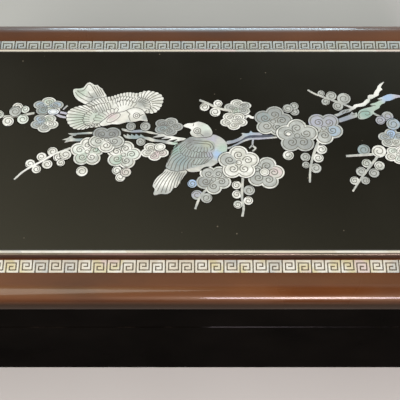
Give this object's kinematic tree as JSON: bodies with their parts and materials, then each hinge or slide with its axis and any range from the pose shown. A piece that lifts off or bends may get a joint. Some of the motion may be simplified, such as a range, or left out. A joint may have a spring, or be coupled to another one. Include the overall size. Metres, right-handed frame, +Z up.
{
  "type": "cigarette box",
  "caption": "Lacquered wooden cigarette box with a hinged lid, pearl key fret and bird-and-blossom inlay, and a divided interior.",
  "frame": {"origin": "middle of the underside, on the surface the box stands on", "axes": "+X to the right along the front, +Y to the hinges at the back, +Z up"},
  "size_m": [0.2, 0.115, 0.0631],
  "materials": {
    "black_lacquer": "gloss black lacquer on wood",
    "brown_lacquer": "gloss brown lacquer on wood",
    "lining_wood": "satin bare wood",
    "pearl_shell": "polished pearl shell",
    "brass": "aged brass"
  },
  "bodies": {
    "base": {"base_front_wall": "black_lacquer", "base_back_wall": "black_lacquer", "base_left_wall": "black_lacquer", "base_right_wall": "black_lacquer", "base_bottom_board": "black_lacquer", "liner_front": "lining_wood", "liner_back": "lining_wood", "liner_left": "lining_wood", "liner_right": "lining_wood", "divider": "lining_wood", "hinge_left_base_leaf": "brass", "hinge_right_base_leaf": "brass", "hinge_left_pin": "brass", "hinge_right_pin": "brass", "hinge_base_screws": "brass"},
    "lid": {"lid_front_skirt": "black_lacquer", "lid_front_rail": "brown_lacquer", "fret_front": "pearl_shell", "lid_back_skirt": "black_lacquer", "lid_back_rail": "brown_lacquer", "fret_back": "pearl_shell", "lid_left_skirt": "black_lacquer", "lid_left_rail": "brown_lacquer", "fret_left": "pearl_shell", "lid_right_skirt": "black_lacquer", "lid_right_rail": "brown_lacquer", "fret_right": "pearl_shell", "lid_panel": "black_lacquer", "pearl_line": "pearl_shell", "pearl_blossoms": "pearl_shell", "pearl_buds": "pearl_shell", "pearl_branches": "pearl_shell", "pearl_bird_flying": "pearl_shell", "pearl_bird_perched": "pearl_shell", "hinge_left_lid_leaf": "brass", "hinge_right_lid_leaf": "brass", "hinge_lid_screws": "brass"}
  },
  "joints": [
    {"name": "lid_hinge", "type": "hinge", "parent": "base", "child": "lid", "pos_m": [0, 0.0554, 0.0381], "axis": [-1, 0, 0], "range_deg": [0, 98]}
  ]
}
